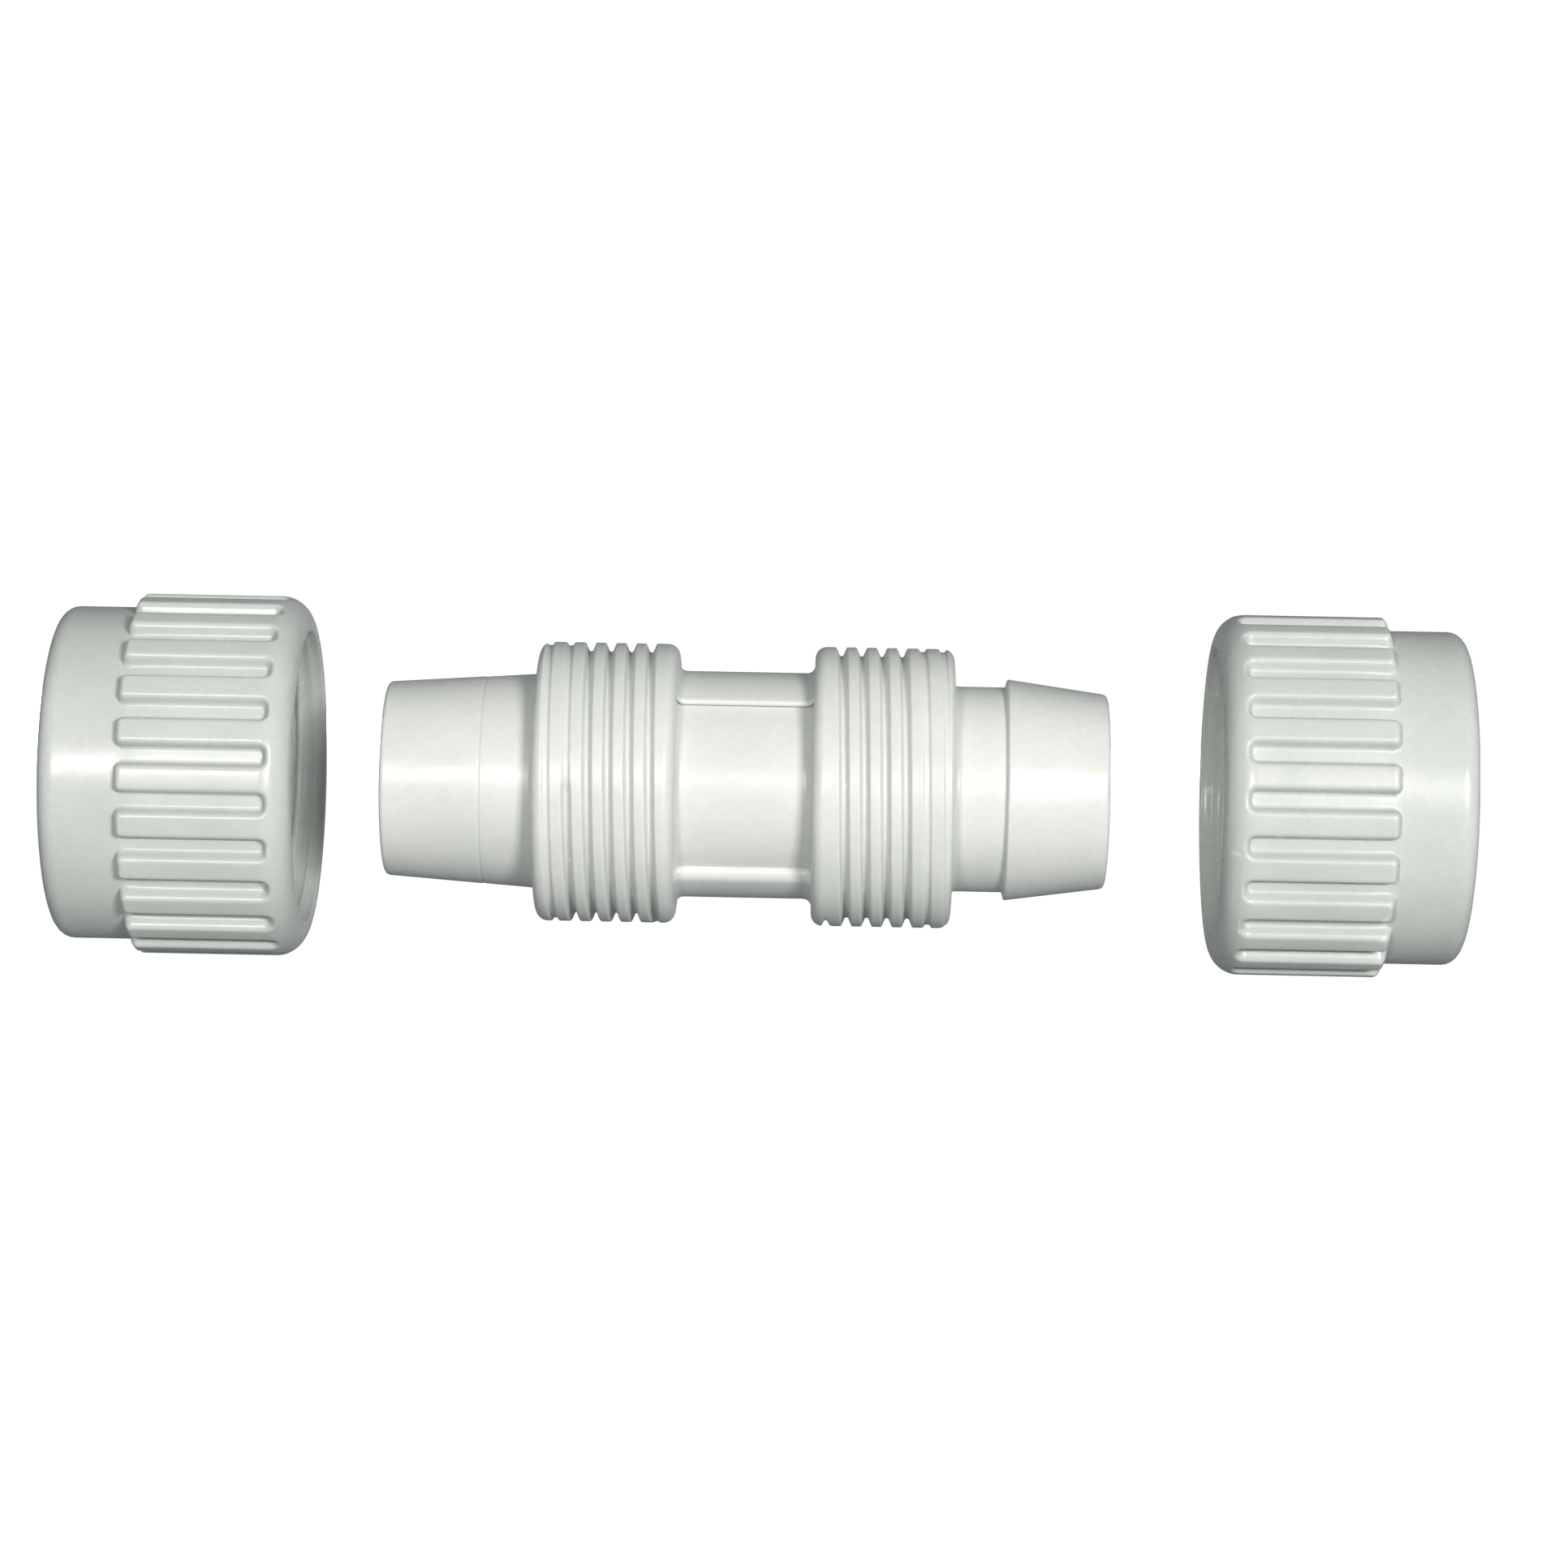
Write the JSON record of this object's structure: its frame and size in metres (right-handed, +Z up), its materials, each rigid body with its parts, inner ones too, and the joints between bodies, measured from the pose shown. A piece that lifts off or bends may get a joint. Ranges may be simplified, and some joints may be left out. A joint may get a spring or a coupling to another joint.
{
  "type": "push fit coupling",
  "caption": "Straight coupling for plastic tube: threaded body with a tapered spigot at each end and ribbed screw-on nuts holding grip and seal rings.",
  "frame": {"origin": "on the ground under the middle of the laid-out set, one nut radius below the common axis", "axes": "+X along the common axis towards the nut at the barbed spigot, +Z up, +Y away from the viewer"},
  "size_m": [0.0866, 0.0222, 0.0223],
  "materials": {
    "body_acetal": "satin",
    "nut_acetal": "satin",
    "grip_ring_plastic": "semi-gloss",
    "seal_rubber": "matte"
  },
  "bodies": {
    "body": {"coupling_body": "body_acetal"},
    "left_ring_set": {"left_grip_ring": "grip_ring_plastic", "left_seal_ring": "seal_rubber"},
    "left_nut": {"left_nut": "nut_acetal"},
    "right_ring_set": {"right_grip_ring": "grip_ring_plastic", "right_seal_ring": "seal_rubber"},
    "right_nut": {"right_nut": "nut_acetal"}
  },
  "joints": [
    {"name": "left_nut_advance", "type": "slide", "parent": "body", "child": "left_ring_set", "axis": [1, 0, 0], "range_m": [0, 0.02175]},
    {"name": "left_nut_turn", "type": "hinge", "parent": "left_ring_set", "child": "left_nut", "pos_m": [-0.0433, 0, 0.01115], "axis": [1, 0, 0], "range_deg": [0, 6264]},
    {"name": "right_nut_advance", "type": "slide", "parent": "body", "child": "right_ring_set", "axis": [-1, 0, 0], "range_m": [0, 0.0235]},
    {"name": "right_nut_turn", "type": "hinge", "parent": "right_ring_set", "child": "right_nut", "pos_m": [0.0433, 0, 0.01115], "axis": [-1, 0, 0], "range_deg": [0, 6768]}
  ],
  "couplings": [
    {"joint": "left_nut_advance", "follows": "left_nut_turn", "m_per_rad": 0.00019894},
    {"joint": "right_nut_advance", "follows": "right_nut_turn", "m_per_rad": 0.00019894}
  ]
}
